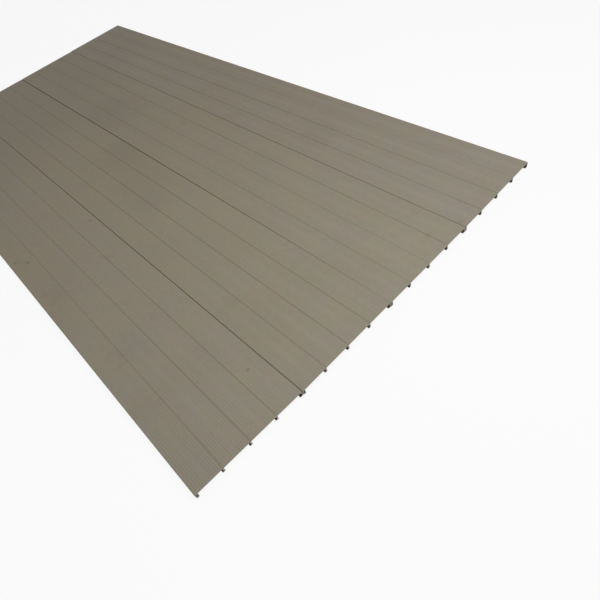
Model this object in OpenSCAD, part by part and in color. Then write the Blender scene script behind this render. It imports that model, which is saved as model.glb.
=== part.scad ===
// Aluminium decking panel: four extruded planks side by side, joined edge to edge.
// Each plank is a ribbed plate on low legs. A tongue along its right edge sits in
// a slot along the left edge of the next plank.
// X runs across the planks, Y along them, and Z is up from the floor under the feet.
// The origin is the middle of the panel's base. The cut end is at -Y.

/* [Panel] */
// Length of each plank
plank_len = 2400; // [600:100:6000]
// Width of one plank's top face
plank_w = 300; // [200:5:400]
// Height of the panel, from the feet to the top face
panel_depth = 17; // [15:0.5:40]
// Number of strips between main grooves on one plank
strips = 4; // [2:1:6]

/* [Joints between planks] */
// Open gap between the first and second plank
gap_1 = 1.2; // [0.2:0.1:1.6]
// Open gap between the second and third plank, at the cut end
gap_2 = 0.2; // [0.2:0.1:1.2]
// The same gap at the far end, where it has opened up
gap_2_far = 2.4; // [0.2:0.1:2.6]
// Open gap between the third and fourth plank
gap_3 = 0.8; // [0.2:0.1:1.2]
// How far the first plank's cut end stands forward of the fourth's, at its middle
forward_1 = 1.9; // [0:0.1:20]
// How far the second plank's cut end stands forward of the fourth's
forward_2 = 4.8; // [0:0.1:20]
// How far the third plank's cut end stands forward of the fourth's
forward_3 = 3.8; // [0:0.1:20]
// Degrees by which the first plank's cut end is out of square, right side forward
skew_1 = 1.0; // [-2:0.1:2]
// Degrees by which the second plank's cut end is out of square
skew_2 = -0.3; // [-2:0.1:2]
// Degrees by which the third plank's cut end is out of square
skew_3 = -0.4; // [-2:0.1:2]
// Degrees by which the fourth plank's cut end is out of square
skew_4 = -1.1; // [-2:0.1:2]

/* [Plate and legs] */
// Thickness of the top plate
plate_t = 2.8; // [2:0.1:5]
// Thickness of the web under a plank's edge
edge_web_t = 3.0; // [1.5:0.1:4]
// Thickness of the web near a main groove
inner_web_t = 3.8; // [1.5:0.1:5]
// Distance from the middle of an inner web right to its main groove
inner_shift = 1.0; // [-3:0.1:3]
// Thickness of the inner feet
foot_t = 2.0; // [1.5:0.1:3]
// Thickness of the feet under a plank's edges
edge_foot_t = 2.8; // [1.5:0.1:4]
// Width of the foot under the right edge, web included
edge_foot_w = 9; // [5:0.5:20]
// Inside width of the box under the left edge
box_gap = 1.6; // [1:0.1:6]
// Thickness of the box's inner wall
box_wall_t = 2.2; // [1.5:0.1:4]
// Width of the foot near a main groove, web included
inner_foot_w = 7.2; // [5:0.1:20]
// Height of the inner feet above the floor
inner_rise = 1.3; // [0:0.1:3]
// Fillet between the plate and a web
root_r = 1.2; // [0.5:0.1:2.5]
// Rounding of the outer corners
edge_r = 0.3; // [0.2:0.1:0.9]

/* [Interlock] */
// Height of the tongue's middle above the floor
tongue_z = 8; // [6.5:0.5:9]
// Thickness of the tongue
tongue_t = 1.6; // [1.2:0.1:2.2]
// How far the tongue stands out from the plank's edge
tongue_reach = 3; // [2.5:0.1:4]
// Clearance above and below the tongue
tongue_clear = 0.3; // [0.1:0.05:0.5]

/* [Top relief] */
// Width of a main groove at the surface
groove_w = 2.0; // [1:0.1:4]
// Depth of a main groove
groove_d = 0.6; // [0.3:0.1:1.2]
// Spacing of the fine grooves
fine_pitch = 6; // [4:0.5:10]
// Number of fine grooves on each side of a main groove
fine_count = 5; // [1:1:5]
// Width of a fine groove at the surface
fine_w = 1.4; // [0.6:0.1:2.5]
// Depth of a fine groove
fine_d = 0.25; // [0.1:0.05:0.6]

/* [Hidden] */
$fn = 48;
khaki = [0.54, 0.51, 0.45];

// Overlap that makes two shapes one, or carries a cut past a face
lap = 0.05;

strip_w = plank_w / strips;
plate_z = panel_depth - plate_t;

box_w = edge_web_t + box_gap + box_wall_t;
slot_h = tongue_t + 2 * tongue_clear;

forwards = [forward_1, forward_2, forward_3, 0];
skews = [skew_1, skew_2, skew_3, skew_4];

// Angle by which the third and fourth plank turn away from the first two
splay = atan((gap_2_far - gap_2) / plank_len);

function turned(p, a) = [p.x * cos(a) - p.y * sin(a), p.x * sin(a) + p.y * cos(a)];
function plank_turn(i) = i < 2 ? 0 : -splay;

// Front left corner of plank i, counted from 0, with the first plank's left edge at X = 0.
// Front means the line through the middle of its cut end.
third_at = [2 * plank_w + gap_1 + gap_2, -forwards[2]];
function plank_at(i) = i < 2
    ? [i * (plank_w + gap_1), -forwards[i]]
    : third_at + turned([(i - 2) * (plank_w + gap_3), forwards[2] - forwards[i]], -splay);

// Points of plank i at x from its left edge, on its cut end and on its far end
function near_point(i, x) =
    plank_at(i) + turned([x, (plank_w / 2 - x) * tan(skews[i])], plank_turn(i));
function far_point(i, x) = plank_at(i) + turned([x, plank_len], plank_turn(i));

corners = [
    for (i = [0 : 3], x = [0, plank_w + tongue_reach])
        each [near_point(i, x), far_point(i, x)]
];
xs = [for (p = corners) p.x];
ys = [for (p = corners) p.y];
middle = [(min(xs) + max(xs)) / 2, (min(ys) + max(ys)) / 2];

// Length added at the cut end, for the slanted cut to take off again
spare = 10;

// Radius of the arc that cuts a groove of this width and depth
function scallop_r(w, d) = (w * w / 4 + d * d) / (2 * d);

// Square corner with its far side hollowed to radius r: added it is a fillet,
// and taken away it rounds a corner. Quadrant 0 opens to +X +Y, and 1 to -X +Y.
module corner(at, r, quadrant) {
    translate(at)
        rotate(90 * quadrant)
            difference() {
                translate([-lap, -lap]) square(r + lap);
                translate([r, r]) circle(r);
            }
}

// Foot of width w and thickness t that runs left from [x, z], with a round end
module foot_left(x, z, w, t) {
    translate([x - w + t / 2, z]) square([w - t / 2, t]);
    translate([x - w + t / 2, z + t / 2]) circle(t / 2);
}

// Web of thickness t from height z up into the plate, its left face at x
module web(x, z, t) {
    translate([x, z]) square([t, plate_z + lap - z]);
}

// Leg beside a main groove at x
module inner_leg(x) {
    left = x - inner_shift - inner_web_t / 2;
    right = left + inner_web_t;
    web(left, inner_rise, inner_web_t);
    foot_left(right, inner_rise, inner_foot_w, foot_t);
    corner([left, plate_z], root_r, 2);
    corner([right, plate_z], root_r, 3);
}

// Leg under the left edge: a narrow box whose outer wall takes the next plank's tongue
module left_leg() {
    web(0, 0, edge_web_t);
    web(edge_web_t + box_gap, 0, box_wall_t);
    square([box_w, edge_foot_t]);
    corner([box_w, plate_z], root_r, 3);
}

// Leg under the right edge, with the tongue
module right_leg() {
    web(plank_w - edge_web_t, 0, edge_web_t);
    foot_left(plank_w, 0, edge_foot_w, edge_foot_t);
    corner([plank_w - edge_web_t, plate_z], root_r, 2);
    translate([plank_w - lap, tongue_z - tongue_t / 2])
        square([tongue_reach - tongue_t / 2 + lap, tongue_t]);
    translate([plank_w + tongue_reach - tongue_t / 2, tongue_z]) circle(tongue_t / 2);
}

// Slot for the tongue, through the outer wall of the box
module tongue_slot() {
    translate([-lap, tongue_z - slot_h / 2]) square([edge_web_t + box_gap / 2, slot_h]);
}

// Groove in the top face at x, cut by one arc
module groove(x, w, d) {
    r = scallop_r(w, d);
    translate([x, panel_depth + r - d]) circle(r);
}

module main_grooves() {
    for (s = [1 : strips - 1])
        groove(s * strip_w, groove_w, groove_d);
}

// Bands of fine grooves along both sides of each strip
module fine_grooves() {
    for (s = [0 : strips - 1], k = [0 : fine_count - 1]) {
        step = fine_pitch * (k + 0.5);
        groove(s * strip_w + step, fine_w, fine_d);
        groove((s + 1) * strip_w - step, fine_w, fine_d);
    }
}

module outer_roundings() {
    corner([0, panel_depth], edge_r, 3);
    corner([plank_w, panel_depth], edge_r, 2);
    corner([0, 0], edge_r, 0);
    corner([box_w, 0], edge_r, 1);
    corner([plank_w, 0], edge_r, 1);
}

module plank_section() {
    difference() {
        union() {
            translate([0, plate_z]) square([plank_w, plate_t]);
            for (s = [1 : strips - 1]) inner_leg(s * strip_w);
            left_leg();
            right_leg();
        }
        tongue_slot();
        main_grooves();
        fine_grooves();
        outer_roundings();
    }
}

// What the slanted saw cut takes off, in front of the line through [plank_w / 2, 0]
module cut_away(skew) {
    translate([plank_w / 2, 0, -lap])
        rotate(-skew)
            translate([-plank_w, -2 * spare, 0])
                cube([2 * plank_w, 2 * spare, panel_depth + 2 * lap]);
}

// Plank i, counted from 0 at the left, in its place in the panel
module plank(i) {
    color(khaki)
        translate(plank_at(i) - middle)
            rotate(plank_turn(i))
                difference() {
                    translate([0, plank_len, 0])
                        rotate([90, 0, 0])
                            linear_extrude(plank_len + spare) plank_section();
                    cut_away(skews[i]);
                }
}

module plank_1() { plank(0); }
module plank_2() { plank(1); }
module plank_3() { plank(2); }
module plank_4() { plank(3); }

plank_1();
plank_2();
plank_3();
plank_4();
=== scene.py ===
import math

import bpy
import bmesh
from mathutils import Euler, Matrix, Vector


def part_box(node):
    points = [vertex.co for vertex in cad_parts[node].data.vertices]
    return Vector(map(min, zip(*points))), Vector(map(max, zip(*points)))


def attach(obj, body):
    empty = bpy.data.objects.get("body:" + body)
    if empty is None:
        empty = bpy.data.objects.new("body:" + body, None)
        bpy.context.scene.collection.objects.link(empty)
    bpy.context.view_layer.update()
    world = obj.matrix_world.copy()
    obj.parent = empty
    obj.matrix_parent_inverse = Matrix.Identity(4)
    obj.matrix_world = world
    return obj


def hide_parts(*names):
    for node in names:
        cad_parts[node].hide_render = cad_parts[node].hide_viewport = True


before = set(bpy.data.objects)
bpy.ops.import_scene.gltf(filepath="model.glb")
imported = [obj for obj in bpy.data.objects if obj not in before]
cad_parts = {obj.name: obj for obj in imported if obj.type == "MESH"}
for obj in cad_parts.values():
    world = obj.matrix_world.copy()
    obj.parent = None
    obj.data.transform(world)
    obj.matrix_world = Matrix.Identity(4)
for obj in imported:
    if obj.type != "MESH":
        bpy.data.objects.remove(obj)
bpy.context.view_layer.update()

mm = 0.001

# Sizes that the four planks share, in millimetres, as on the real extrusion
section = {
    "width": 300.0,
    "depth": 17.0,
    "plate": 2.8,
    "edgeWeb": 3.0,
    "innerWeb": 3.8,
    "innerShift": 1.0,  # the middle of an inner web lies this far left of its groove
    "foot": 2.0,
    "innerFoot": 7.2,
    "innerRise": 1.3,  # underside of an inner foot above the floor
    "edgeFoot": 9.0,
    "edgeFootThick": 2.8,
    "boxGap": 1.6,  # inside width of the box under the left edge
    "boxWall": 2.2,
    "rootRadius": 1.2,
    "edgeRadius": 0.3,
    "tongueHeight": 8.0,
    "tongueThick": 1.6,
    "tongueReach": 3.0,
    "tongueClear": 0.3,
    "strips": 4,
    "grooveWidth": 2.0,
    "grooveDepth": 0.6,
    "finePitch": 6.0,
    "fineCount": 5,
    "fineWidth": 1.4,
    "fineDepth": 0.25,
    "grooveSteps": 6,  # straight pieces in the arc of a groove,
    "cornerSteps": 4,  # of a fillet or a rounded corner,
    "tipSteps": 8,  # and of the round end of a foot or the tongue
}
stripWidth = section["width"] / section["strips"]


# The section's outline, in millimetres, anticlockwise when X is right and Z is up

def arc(cx, cz, radius, start, end, steps):
    turn = [math.radians(start + (end - start) * k / steps) for k in range(steps + 1)]
    return [(cx + radius * math.cos(a), cz + radius * math.sin(a)) for a in turn]


def grooveArc(x, width, depth):
    # Arc cut into the top face, met from its right rim to its left rim
    radius = (width * width / 4 + depth * depth) / (2 * depth)
    half = math.degrees(math.asin(width / 2 / radius))
    return arc(x, section["depth"] + radius - depth, radius, -90 + half, -90 - half, section["grooveSteps"])


def reliefLine():
    # The top face from the right edge to the left, with every groove in it
    s = section
    cuts = [(k * stripWidth, s["grooveWidth"], s["grooveDepth"]) for k in range(1, s["strips"])]
    for strip in range(s["strips"]):
        for k in range(s["fineCount"]):
            step = s["finePitch"] * (k + 0.5)
            cuts.append((strip * stripWidth + step, s["fineWidth"], s["fineDepth"]))
            cuts.append(((strip + 1) * stripWidth - step, s["fineWidth"], s["fineDepth"]))
    points = []
    for x, width, depth in sorted(cuts, reverse=True):
        points += grooveArc(x, width, depth)
    return points


def fillet(x, start, end):
    # Where a web meets the plate, x being the middle of the fillet's arc
    root = section["rootRadius"]
    return arc(x, section["depth"] - section["plate"] - root, root, start, end, section["cornerSteps"])


def rounding(x, z, start):
    # Outer corner, rounded through a quarter turn
    return arc(x, z, section["edgeRadius"], start, start + 90, section["cornerSteps"])


def innerLeg(x):
    # Web near a main groove, with its foot turned left, met from the left
    s = section
    root, half, base = s["rootRadius"], s["foot"] / 2, s["innerRise"]
    left = x - s["innerShift"] - s["innerWeb"] / 2
    right = left + s["innerWeb"]
    return (fillet(left - root, 90, 0)
            + [(left, base + s["foot"])]
            + arc(right - s["innerFoot"] + half, base + half, half, 90, 270, s["tipSteps"])
            + [(right, base)]
            + fillet(right + root, 180, 90))


def plankOutline():
    s = section
    width, depth, web, foot = s["width"], s["depth"], s["edgeWeb"], s["edgeFootThick"]
    under = depth - s["plate"]
    root, edge = s["rootRadius"], s["edgeRadius"]
    middle, half = s["tongueHeight"], s["tongueThick"] / 2
    slot = half + s["tongueClear"]
    hollow = web + s["boxGap"]
    box = hollow + s["boxWall"]
    left = rounding(edge, edge, 180) + rounding(box - edge, edge, 270) + fillet(box + root, 180, 90)
    inner = []
    for k in range(1, s["strips"]):
        inner += innerLeg(k * stripWidth)
    right = (fillet(width - web - root, 90, 0)
             + [(width - web, foot)]
             + arc(width - s["edgeFoot"] + foot / 2, foot / 2, foot / 2, 90, 270, s["tipSteps"])
             + rounding(width - edge, edge, 270)
             + [(width, middle - half)]
             + arc(width + s["tongueReach"] - half, middle, half, -90, 90, s["tipSteps"])
             + [(width, middle + half)]
             + rounding(width - edge, depth - edge, 0))
    # Left side, going in through the tongue's slot and round the inside of the box
    back = (rounding(edge, depth - edge, 90)
            + [(0, middle + slot), (web, middle + slot), (web, under), (hollow, under),
               (hollow, foot), (web, foot), (web, middle - slot), (0, middle - slot)])
    return left + inner + right + reliefLine() + back


def sectionMesh(name):
    # The outline as one closed loop of edges, flat in XY, for the sweep to use as its profile
    form = bmesh.new()
    ring = [form.verts.new((x * mm, z * mm, 0)) for x, z in plankOutline()]
    for k, vertex in enumerate(ring):
        form.edges.new((vertex, ring[(k + 1) % len(ring)]))
    mesh = bpy.data.meshes.new(name)
    form.to_mesh(mesh)
    form.free()
    return mesh


class Tree:
    # A Geometry Nodes tree with named inputs

    def __init__(self, name, inputs):
        self.group = bpy.data.node_groups.new(name, "GeometryNodeTree")
        self.group.interface.new_socket(name="Section", in_out="INPUT", socket_type="NodeSocketGeometry")
        for title, kind in inputs:
            self.group.interface.new_socket(name=title, in_out="INPUT", socket_type=kind)
        self.group.interface.new_socket(name="Plank", in_out="OUTPUT", socket_type="NodeSocketGeometry")
        self.entry = self.group.nodes.new("NodeGroupInput")
        self.exit = self.group.nodes.new("NodeGroupOutput")

    def add(self, kind, settings=None, sockets=None, out=0):
        made = self.group.nodes.new(kind)
        for key, value in (settings or {}).items():
            setattr(made, key, value)
        for key, value in (sockets or {}).items():
            if isinstance(value, bpy.types.NodeSocket):
                self.group.links.new(value, made.inputs[key])
            else:
                made.inputs[key].default_value = value
        return made.outputs[out]

    def maths(self, operation, a, b=0.0):
        return self.add("ShaderNodeMath", {"operation": operation}, {0: a, 1: b})


def sweepTree():
    # Sweeps the section along the plank, softens the saw-cut rims and slants the cut end
    tree = Tree("plankSweep", [
        ("Length", "NodeSocketFloat"), ("Stations", "NodeSocketInt"), ("Rim", "NodeSocketFloat"),
        ("Middle", "NodeSocketFloat"), ("Slant", "NodeSocketFloat"), ("Sharp Angle", "NodeSocketFloat"),
        ("Turn", "NodeSocketVector"), ("Place", "NodeSocketVector"), ("Finish", "NodeSocketMaterial")])
    add, maths, given = tree.add, tree.maths, tree.entry.outputs
    length, rim = given["Length"], given["Rim"]
    profile = add("GeometryNodeMeshToCurve", None, {"Mesh": given["Section"]})

    # Spine: one ring at each end, one a rim's width in, and even stations between
    number = add("GeometryNodeInputIndex")
    spine = add("GeometryNodeMeshLine", {"mode": "OFFSET"}, {"Count": maths("ADD", given["Stations"], 3.0)})
    share = maths("DIVIDE", maths("SUBTRACT", number, 1.0), given["Stations"])
    inner = maths("SUBTRACT", length, maths("MULTIPLY", rim, 2.0))
    along = maths("ADD", maths("MULTIPLY", share, inner), rim)
    along = maths("MAXIMUM", maths("MINIMUM", along, length), 0.0)
    spine = add("GeometryNodeSetPosition", None,
                {"Geometry": spine, "Position": add("ShaderNodeCombineXYZ", None, {"Z": along})})
    spine = add("GeometryNodeMeshToCurve", None, {"Mesh": spine})
    body = add("GeometryNodeCurveToMesh", None,
               {"Curve": spine, "Profile Curve": profile, "Fill Caps": True})

    # Rings at the two ends, drawn in by a rim's width
    here = add("GeometryNodeInputPosition")
    across, height = [add("ShaderNodeSeparateXYZ", None, {0: here}, out=k) for k in (0, 2)]
    halfRim = maths("MULTIPLY", rim, 0.5)
    fromEnd = maths("MINIMUM", height, maths("SUBTRACT", length, height))
    inward = add("ShaderNodeVectorMath", {"operation": "MULTIPLY"},
                 {0: add("GeometryNodeInputNormal"), 1: (-1.0, -1.0, 0.0)})
    inward = add("ShaderNodeVectorMath", {"operation": "NORMALIZE"}, {0: inward})
    inward = add("ShaderNodeVectorMath", {"operation": "SCALE"}, {0: inward, "Scale": rim})
    body = add("GeometryNodeSetPosition", None, {
        "Geometry": body, "Selection": maths("LESS_THAN", fromEnd, halfRim), "Offset": inward})

    # Saw cut out of square: the last two rings slide along the plank
    nearEnd = maths("GREATER_THAN", height, maths("SUBTRACT", length, maths("MULTIPLY", rim, 1.5)))
    slide = maths("MULTIPLY", maths("SUBTRACT", across, given["Middle"]), given["Slant"])
    body = add("GeometryNodeSetPosition", None, {
        "Geometry": body, "Selection": nearEnd, "Offset": add("ShaderNodeCombineXYZ", None, {"Z": slide})})

    # Laid down with its top up and its cut end towards -Y, then put in its place
    body = add("GeometryNodeTransform", None, {
        "Geometry": body, "Rotation": (math.radians(90), 0.0, 0.0),
        "Translation": add("ShaderNodeCombineXYZ", None, {"Y": length})})
    body = add("GeometryNodeTransform", None,
               {"Geometry": body, "Rotation": given["Turn"], "Translation": given["Place"]})
    body = add("GeometryNodeSetShadeSmooth", {"domain": "FACE"}, {"Geometry": body, "Shade Smooth": True})
    sharp = maths("GREATER_THAN", add("GeometryNodeInputMeshEdgeAngle"), given["Sharp Angle"])
    body = add("GeometryNodeSetShadeSmooth", {"domain": "EDGE"},
               {"Geometry": body, "Selection": sharp, "Shade Smooth": False})
    body = add("GeometryNodeRealizeInstances", None, {"Geometry": body})
    body = add("GeometryNodeSetMaterial", None, {"Geometry": body, "Material": given["Finish"]})
    tree.group.links.new(body, tree.exit.inputs[0])
    return tree.group


def socketByName(group, name):
    # A modifier's input is set by the identifier of its socket
    for item in group.interface.items_tree:
        if item.item_type == "SOCKET" and item.in_out == "INPUT" and item.name == name:
            return item.identifier


# What is alike in every plank, in millimetres and degrees
sweep = {
    "length": 2400.0,
    "stations": 24,  # even lengths between the ring at one end and the other
    "rim": 0.2,  # softening of the saw-cut edges
    "sharpAngle": 35.0,  # edges that turn more than this stay crisp
}

# How each plank lies, in degrees (its CAD node gives the rest), how its coat has worn and where shade is
# painted.
# Tint and band are the tone of all of it and of its bands of fine grooves, a darker band being grime and
# painted shade.
# The rest is grime and painted shade: fine lies in the fine grooves, sides down its left and right side,
# and lines along the top's left edge, three main grooves and right edge, at the cut end and far from it.
# Marks are spots and smudges, in millimetres across and along the plank; the widest, at the far end, are
# painted shade.
planks = [
    {"node": "plank_1", "turn": 0.0, "skew": 1.0, "seed": 3.0,
     "tint": (1.0, 1.0, 0.998), "band": 0.018, "fine": 1.0, "sides": (0.1, 0.6),
     "lines": [(0.14, 0.28), (0.23, 0.13), (0.31, 0.26), (0.3, 0.28), (0.17, 0.35)],
     "marks": [
         {"x": 49, "y": 1006, "radius": 6.5, "dark": 0.45, "ragged": 0.3},
         {"x": 18, "y": 1042, "radius": 7.5, "dark": 0.34, "ragged": 0.3},
         {"x": 279, "y": 997, "radius": 7.5, "dark": 0.30, "ragged": 0.4},
         {"x": 257, "y": 135, "radius": 7.5, "dark": 0.22, "ragged": 0.4},
         {"x": 237, "y": 779, "radius": 24, "dark": 0.06, "ragged": 0.9},
         {"x": 62, "y": 795, "radius": 90, "dark": 0.045, "ragged": 0.9},
         {"x": 95, "y": 430, "radius": 80, "dark": 0.05, "ragged": 0.9},
         {"x": 30, "y": 250, "radius": 60, "dark": 0.05, "ragged": 0.9},
         # Painted shade, darker towards the far end
         {"x": 60, "y": 2150, "radius": 950, "dark": 0.13, "ragged": 0.1},
     ]},
    {"node": "plank_2", "turn": 0.0, "skew": -0.3, "seed": 11.0,
     "tint": (0.992, 0.992, 0.965), "band": 0.006, "fine": 0.8, "sides": (0.6, 1.0),
     "lines": [(0.17, 0.35), (0.22, 0.4), (0.3, 0.46), (0.27, 0.46), (0.01, 0.76)],
     "marks": [
         {"x": 280, "y": 1240, "radius": 190, "dark": 0.085, "ragged": 0.3},
         {"x": 205, "y": 1030, "radius": 150, "dark": 0.045, "ragged": 0.3},
         {"x": 145, "y": 880, "radius": 100, "dark": 0.04, "ragged": 0.4},
         {"x": 60, "y": 330, "radius": 30, "dark": 0.04, "ragged": 0.9},
         # Painted shade, darker towards the far end
         {"x": 100, "y": 2250, "radius": 950, "dark": 0.13, "ragged": 0.1},
     ]},
    {"node": "plank_3", "turn": -0.05252, "skew": -0.4, "seed": 23.0,
     "tint": (0.996, 0.996, 0.98), "band": -0.018, "fine": 0.1, "sides": (1.0, 0.6),
     "lines": [(0.01, 0.76), (0.15, 0.3), (0.1, 0.18), (0.27, 0.42), (0.24, 0.5)],
     "marks": [
         {"x": 222, "y": 62, "radius": 15, "dark": 0.10, "ragged": 0.8},
         {"x": 276, "y": 138, "radius": 20, "dark": 0.07, "ragged": 0.9},
         {"x": 172, "y": 136, "radius": 18, "dark": 0.05, "ragged": 0.9},
         {"x": 290, "y": 944, "radius": 28, "dark": 0.08, "ragged": 0.9},
         {"x": 204, "y": 1178, "radius": 24, "dark": 0.07, "ragged": 0.8},
         {"x": 60, "y": 1560, "radius": 230, "dark": 0.09, "ragged": 0.3},
         # Painted shade, darker towards the far end
         {"x": 60, "y": 2300, "radius": 850, "dark": 0.10, "ragged": 0.1},
     ]},
    {"node": "plank_4", "turn": -0.05252, "skew": -1.1, "seed": 37.0,
     "tint": (1.0, 0.998, 1.012), "band": -0.035, "fine": 0.0, "sides": (0.6, 0.1),
     "lines": [(0.24, 0.5), (0.3, 0.5), (0.28, 0.5), (0.03, 0.05), (0.085, 0.19)],
     "marks": [
         {"x": 8, "y": 20, "radius": 14, "dark": 0.10, "ragged": 0.7},
         {"x": 100, "y": 640, "radius": 110, "dark": 0.045, "ragged": 0.6},
         {"x": 31, "y": 1015, "radius": 40, "dark": 0.05, "ragged": 0.9},
         {"x": 123, "y": 1298, "radius": 60, "dark": 0.04, "ragged": 0.9},
         # Painted shade, darker towards the far end
         {"x": 60, "y": 2400, "radius": 700, "dark": 0.07, "ragged": 0.1},
     ]},
]


def plankPlace(plank):
    # Front left corner of a plank, from the lowest corner of its CAD node's box
    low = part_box(plank["node"])[0]
    turn, slope = math.radians(plank["turn"]), math.tan(math.radians(plank["skew"]))
    far = section["width"] + section["tongueReach"]
    corners = [(x, y) for x in (0.0, far) for y in ((section["width"] / 2 - x) * slope, sweep["length"])]
    lowX = min(x * math.cos(turn) - y * math.sin(turn) for x, y in corners)
    lowY = min(x * math.sin(turn) + y * math.cos(turn) for x, y in corners)
    return (low[0] - lowX * mm, low[1] - lowY * mm, low[2])


def makePlank(plank, group, finish):
    name = plank["node"] + "_swept"
    holder = bpy.data.objects.new(name + "_draft", sectionMesh(name + "_draft"))
    bpy.context.scene.collection.objects.link(holder)
    modifier = holder.modifiers.new("sweep", "NODES")
    modifier.node_group = group
    values = {
        "Length": sweep["length"] * mm, "Stations": sweep["stations"], "Rim": sweep["rim"] * mm,
        "Middle": section["width"] / 2 * mm, "Slant": math.tan(math.radians(plank["skew"])),
        "Sharp Angle": math.radians(sweep["sharpAngle"]),
        "Turn": (0.0, 0.0, math.radians(plank["turn"])), "Place": plankPlace(plank), "Finish": finish,
    }
    for title, value in values.items():
        modifier[socketByName(group, title)] = value
    soft = holder.modifiers.new("flatFaces", "WEIGHTED_NORMAL")
    soft.keep_sharp = True
    bpy.context.view_layer.update()
    evaluated = holder.evaluated_get(bpy.context.evaluated_depsgraph_get())
    mesh = bpy.data.meshes.new_from_object(evaluated)
    mesh.name = name
    bpy.data.objects.remove(holder)
    piece = bpy.data.objects.new(name, mesh)
    bpy.context.scene.collection.objects.link(piece)
    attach(piece, "root")
    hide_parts(plank["node"])
    print("stage:", name, "made,", len(mesh.vertices), "vertices")


class Wire:
    # A shader socket that takes part in plain sums

    def __init__(self, finish, socket):
        self.finish, self.socket = finish, socket

    def sum(self, operation, a, b=0.0):
        return self.finish.node("ShaderNodeMath", {"operation": operation}, {0: a, 1: b})

    def __add__(self, other):
        return self.sum("ADD", self, other)

    def __radd__(self, other):
        return self.sum("ADD", other, self)

    def __sub__(self, other):
        return self.sum("SUBTRACT", self, other)

    def __rsub__(self, other):
        return self.sum("SUBTRACT", other, self)

    def __mul__(self, other):
        return self.sum("MULTIPLY", self, other)

    def __rmul__(self, other):
        return self.sum("MULTIPLY", other, self)

    def __truediv__(self, other):
        return self.sum("DIVIDE", self, other)

    def __rtruediv__(self, other):
        return self.sum("DIVIDE", other, self)

    def __abs__(self):
        return self.sum("ABSOLUTE", self)


class Finish:
    # The node tree of a material, or of the world

    def __init__(self, owner):
        owner.use_nodes = True
        owner.node_tree.nodes.clear()
        self.owner = owner

    def node(self, kind, settings=None, sockets=None, out=0):
        # Settings go first, because they can change the sockets
        tree = self.owner.node_tree
        made = tree.nodes.new(kind)
        for key, value in (settings or {}).items():
            setattr(made, key, value)
        for key, value in (sockets or {}).items():
            entry = made.inputs[key]
            if isinstance(value, Wire):
                tree.links.new(value.socket, entry)
            else:
                entry.default_value = (*value, 1.0) if entry.type == "RGBA" else value
        return Wire(self, made.outputs[out]) if made.outputs else None

    def blend(self, share, a, b):
        # Colour a, turning into colour b as share goes from 0 to 1
        return self.node("ShaderNodeMix", {"data_type": "RGBA"}, {0: share, 6: a, 7: b}, out=2)

    def tinted(self, colour, tint):
        return self.node("ShaderNodeVectorMath", {"operation": "MULTIPLY"}, {0: colour, 1: tint})

    def scaled(self, colour, amount):
        return self.node("ShaderNodeVectorMath", {"operation": "SCALE"}, {0: colour, "Scale": amount})

    def ramp(self, value, start, end, low=0.0, high=1.0):
        return self.node("ShaderNodeMapRange", {"interpolation_type": "SMOOTHSTEP"},
                         {0: value, 1: start, 2: end, 3: low, 4: high})

    def near(self, distance, reach, strength=1.0):
        # Full strength up to the first of two distances in millimetres, and none past the second
        return self.ramp(distance, reach[0] * mm, reach[1] * mm, strength, 0.0)

    def noise(self, vector, scale, detail=2.0, roughness=0.5, out=0):
        return self.node("ShaderNodeTexNoise", None,
                         {"Vector": vector, "Scale": scale, "Detail": detail, "Roughness": roughness}, out)

    def moved(self, vector, offset):
        return self.node("ShaderNodeMapping", None, {"Vector": vector, "Location": offset})

    def stretched(self, vector, scale):
        return self.node("ShaderNodeMapping", None, {"Vector": vector, "Scale": scale})

    def away(self, value, spacing):
        # Distance from the nearest multiple of spacing
        return self.node("ShaderNodeMath", {"operation": "PINGPONG"}, {0: value, 1: spacing / 2})

    def seen(self):
        # 1 where the eye meets it, also by gloss or through glass, and 0 where it only lights something
        rays = [self.node("ShaderNodeLightPath", None, None, out="Is " + kind + " Ray")
                for kind in ("Camera", "Glossy", "Transmission")]
        found = rays[0]
        for ray in rays[1:]:
            found = found.sum("MAXIMUM", found, ray)
        return found

    def end(self, shader, kind="ShaderNodeOutputMaterial"):
        self.node(kind, None, {"Surface": shader})
        return self.owner


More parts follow.
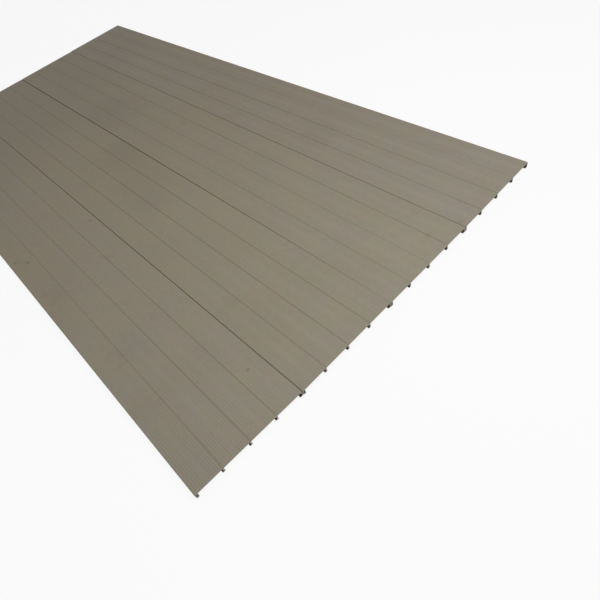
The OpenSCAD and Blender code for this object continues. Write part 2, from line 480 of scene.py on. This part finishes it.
# The coat that all planks share. Lengths are in millimetres.
coat = {
    "cooler": (0.255, 0.227, 0.177),
    "warmer": (0.261, 0.227, 0.167),
    "hueChange": (0.3, 0.7),  # part of the noise over which one turns into the other
    "greener": (0.992, 1.013, 0.992),
    "mauver": (1.008, 0.987, 1.008),
    "patchChange": (0.35, 0.65),
    # Painted sheen: bluer and more neutral near the cut end, yellower far from it
    "paintedSheenNear": (0.993, 1.007, 1.035),
    "paintedSheenFar": (1.007, 0.985, 0.955),
    "paintedSheenReach": 1200.0,  # from the cut end to where the painted sheen has fully given way to the far tint
    "roughness": 0.60,
    "roughSpread": 0.12,
    "specular": 0.25,

    # Scale, detail and roughness of each pattern
    "hue": (12.0, 2.0, 0.5),
    "patch": (32.0, 2.0, 0.5),
    "blotch": (5.0, 3.0, 0.55),
    "mottle": (60.0, 3.0, 0.6),
    "grain": (420.0, 2.0, 0.5),
    "streak": (1.0, 4.0, 0.6),
    "saw": (1.0, 2.0, 0.5),
    "spot": (45.0, 3.0, 0.5),
    "bump": (1400.0, 2.0, 0.5),
    "hueOffset": (5.0, 2.0, 0.0),
    "streakStretch": (420.0, 0.9, 420.0),
    "sawStretch": (300.0, 300.0, 2600.0),
    "bumpStrength": 0.12,
    "bumpDepth": 0.05,

    # How much each pattern lightens and darkens
    "blotchShare": 0.13,
    "mottleShare": 0.13,
    "grainShare": 0.27,
    "streakShare": 0.10,
    "sawShare": 0.4,

    # Grime and painted shade, and distances over which they fade
    "grimeAndShade": (0.086, 0.063, 0.012),
    "bandEdge": (28.0, 30.0),  # from a main groove to the end of its fine grooves
    "lineWidth": (0.4, 1.5),
    "lineReach": 900.0,  # from the cut end to where a line's far strength is full
    # Grime and painted shade in the fine grooves
    "fineGrimeAndShade": 0.16,  # in the fine grooves at the cut end
    "fineWidth": (0.2, 1.6),
    "fineFade": (0.0, 900.0),
    "spotCore": 0.25,  # share of a mark's radius that is fully dark
    "spotWander": 2.4,  # how far the most ragged rim strays, in radii

    # Below the top face
    "topSkin": (1.0, 0.9),  # depth at which the top's finish has ended
    "sideSkin": (0.1, 0.4),  # and how far in from a side its own finish reaches
    "sideChange": (0.4, 0.6),  # share of the width where the left side's grime and painted shade gives way to the right's
    "paintedUnderShade": (0.34, 0.335, 0.30),  # painted shade of the underside, against the top
    "cutMetal": (0.305, 0.296, 0.270),
    "cutFacing": (0.6, 0.8),  # faces turned this much along the plank are saw-cut
    "cutShine": 0.25,
    "cutSmooth": 0.12,
}


def markDirtAndShade(f, place, plank):
    # One minus the dirt of the smaller marks and the painted shade of the widest, at the far end, to be
    # multiplied into the coat's colour
    wander = f.node("ShaderNodeVectorMath", {"operation": "SUBTRACT"},
                    {0: f.noise(place, *coat["spot"], out=1), 1: (0.5, 0.5, 0.5)})
    shade = 1.0
    for mark in plank["marks"]:
        radius = mark["radius"]
        stray = coat["spotWander"] * radius * mark["ragged"] * mm
        pushed = f.node("ShaderNodeVectorMath", {"operation": "MULTIPLY_ADD"},
                        {0: wander, 1: (stray, stray, stray), 2: place})
        away = f.node("ShaderNodeVectorMath", {"operation": "DISTANCE"},
                      {0: pushed, 1: (mark["x"] * mm, mark["y"] * mm, section["depth"] * mm)}, out=1)
        shade = (1.0 - f.near(away, (coat["spotCore"] * radius, radius), mark["dark"])) * shade
    return shade


def coatedFinish(plank):
    f = Finish(bpy.data.materials.new(plank["node"] + "_coat"))
    # Object coordinates measured from the plank's own front left corner
    place = f.node("ShaderNodeMapping", {"vector_type": "TEXTURE"}, {
        "Vector": f.node("ShaderNodeTexCoord", None, None, out="Object"),
        "Location": plankPlace(plank), "Rotation": (0.0, 0.0, math.radians(plank["turn"]))})
    across, along, height = [f.node("ShaderNodeSeparateXYZ", None, {0: place}, out=k) for k in range(3)]
    shifted = f.moved(place, (0.0, 0.0, plank["seed"]))
    fromMain = f.away(across, stripWidth * mm)
    banded = f.near(fromMain, coat["bandEdge"])

    # Blotches, mottling, grain and the die's streaks along the plank, the bands' tone, and marks
    blotch = f.noise(shifted, *coat["blotch"])
    mottle = f.noise(shifted, *coat["mottle"])
    grain = f.noise(shifted, *coat["grain"])
    streak = f.noise(f.stretched(shifted, coat["streakStretch"]), *coat["streak"])
    value = (1.0 + (blotch - 0.5) * coat["blotchShare"] + (mottle - 0.5) * coat["mottleShare"]
             + (grain - 0.5) * coat["grainShare"] + (streak - 0.5) * coat["streakShare"])
    # A darker band holds grime and painted shade of its fine grooves; the widest marks are painted shade
    value = value * (1.0 + banded * plank["band"]) * markDirtAndShade(f, place, plank)

    # Slow changes of hue, in the coat itself and in small patches, and a painted sheen along the plank,
    # bluer near the cut end
    hue = f.noise(f.moved(shifted, coat["hueOffset"]), *coat["hue"])
    patch = f.noise(shifted, *coat["patch"])
    colour = f.blend(f.ramp(hue, *coat["hueChange"]), coat["cooler"], coat["warmer"])
    for tint in (plank["tint"],
                 f.blend(f.ramp(patch, *coat["patchChange"]), coat["greener"], coat["mauver"]),
                 f.blend(along / (coat["paintedSheenReach"] * mm), coat["paintedSheenNear"], coat["paintedSheenFar"])):
        colour = f.tinted(colour, tint)
    colour = f.scaled(colour, value)

    # Grime and painted shade along the edges and the main grooves, and in the fine grooves near the cut end
    lines = 0.0
    for k, (close, far) in enumerate(plank["lines"]):
        line = f.near(abs(across - k * stripWidth * mm), coat["lineWidth"])
        lines = lines + line * f.ramp(along, 0.0, coat["lineReach"] * mm, close, far)
    pitch = section["finePitch"] * mm
    fine = f.near(f.away(fromMain + pitch / 2, pitch), coat["fineWidth"], plank["fine"])
    fine = fine * banded * f.near(along, coat["fineFade"], coat["fineGrimeAndShade"])
    for share in (lines, fine):
        colour = f.blend(share, colour, coat["grimeAndShade"])

    # Grime and painted shade on the sides in the joints, and painted shade on the underside
    wide = section["width"] * mm
    onSide = f.near(f.away(across, wide), coat["sideSkin"])
    below = f.near(height, [section["depth"] - skin for skin in coat["topSkin"]])
    strength = f.ramp(across, *[wide * share for share in coat["sideChange"]], *plank["sides"])
    colour = f.blend(onSide * below * strength, colour, coat["grimeAndShade"])
    colour = f.blend((1.0 - onSide) * below, colour, f.tinted(colour, coat["paintedUnderShade"]))

    # Bare metal, with saw lines, on the faces that look along the plank
    normal = f.node("ShaderNodeNewGeometry", None, None, out="Normal")
    facing = f.node("ShaderNodeSeparateXYZ", None, {0: normal}, out="Y")
    cut = f.ramp(abs(facing), *coat["cutFacing"])
    sawn = f.noise(f.stretched(shifted, coat["sawStretch"]), *coat["saw"])
    colour = f.blend(cut, colour, f.scaled(coat["cutMetal"], 1.0 + (sawn - 0.5) * coat["sawShare"]))

    bump = f.node("ShaderNodeBump", None, {
        "Strength": coat["bumpStrength"], "Distance": coat["bumpDepth"] * mm,
        "Height": f.noise(place, *coat["bump"])})
    rough = coat["roughness"] + (blotch - 0.5) * coat["roughSpread"] - cut * coat["cutSmooth"]
    return f.end(f.node("ShaderNodeBsdfPrincipled", None, {
        "Base Color": colour, "Roughness": rough, "Metallic": cut * coat["cutShine"],
        "Specular IOR Level": coat["specular"], "Normal": bump}))


studio = {
    "ambient": 0.42,  # strength of the pale world as light on the object
    "white": (1.0, 1.0, 1.0),
    "floor": (0.7, 0.7, 0.7),  # colour of the floor where light and shadow fall on it
    "floorWhite": 0.9,  # share of plain white in the floor that the eye sees
    "floorReach": 30.0,  # metres to each side
    "floorBelow": 0.3,  # millimetres, so that it lies just clear of the feet
}


def makeFloor():
    f = Finish(bpy.data.materials.new("paleFloor"))
    lit = f.node("ShaderNodeBsdfDiffuse", None, {"Color": studio["floor"]})
    white = f.node("ShaderNodeEmission", None, {"Color": studio["white"], "Strength": 1.0})
    share = f.seen() * studio["floorWhite"]
    form = bmesh.new()
    bmesh.ops.create_grid(form, x_segments=1, y_segments=1, size=studio["floorReach"])
    mesh = bpy.data.meshes.new("floor")
    form.to_mesh(mesh)
    form.free()
    mesh.materials.append(f.end(f.node("ShaderNodeMixShader", None, {0: share, 1: lit, 2: white})))
    mesh.transform(Matrix.Translation((0.0, 0.0, -studio["floorBelow"] * mm)))
    floor = bpy.data.objects.new("floor", mesh)
    bpy.context.scene.collection.objects.link(floor)


# The photograph's viewpoint, measured from the left end of the cut edge, in millimetres and degrees
view = {
    "right": 91.47,
    "before": 485.05,
    "above": 926.89,
    "angles": (38.2174, 11.8375, -44.3450),
    "lens": 28.985,
    "sensor": 36.0,
}


def makeCamera():
    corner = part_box("plank_1")[0]
    away = Vector((view["right"], -view["before"], section["depth"] + view["above"]))
    data = bpy.data.cameras.new("photoView")
    data.sensor_width = view["sensor"]
    data.lens = view["lens"]
    camera = bpy.data.objects.new("photoView", data)
    camera.location = corner + away * mm
    camera.rotation_euler = Euler([math.radians(a) for a in view["angles"]])
    bpy.context.scene.collection.objects.link(camera)
    bpy.context.scene.camera = camera


# One large soft lamp, in metres and watts
softKey = {
    "place": (0.25, -1.58, 1.55),
    "aim": (0.0, -0.5, 0.0),
    "size": 1.0,
    "power": 19.5,
}


def makeLight():
    data = bpy.data.lights.new("softKey", "AREA")
    data.shape = "SQUARE"
    data.size = softKey["size"]
    data.energy = softKey["power"]
    light = bpy.data.objects.new("softKey", data)
    light.location = softKey["place"]
    aim = Vector(softKey["aim"]) - Vector(softKey["place"])
    light.rotation_euler = aim.to_track_quat("-Z", "Y").to_euler()
    light.visible_camera = False
    bpy.context.scene.collection.objects.link(light)

    # A plain pale world, white to the eye
    f = Finish(bpy.data.worlds.new("paleStudio"))
    strength = studio["ambient"] + f.seen() * (1.0 - studio["ambient"])
    ground = f.node("ShaderNodeBackground", None, {"Color": studio["white"], "Strength": strength})
    bpy.context.scene.world = f.end(ground, "ShaderNodeOutputWorld")


bpy.context.scene.view_settings.view_transform = "Standard"
group = sweepTree()
print("stage: sweep ready, its section has", len(plankOutline()), "points")
for plank in planks:
    makePlank(plank, group, coatedFinish(plank))
makeFloor()
print("stage: floor laid")
makeCamera()
print("stage: camera placed")
makeLight()
print("stage: lamp and world lit")
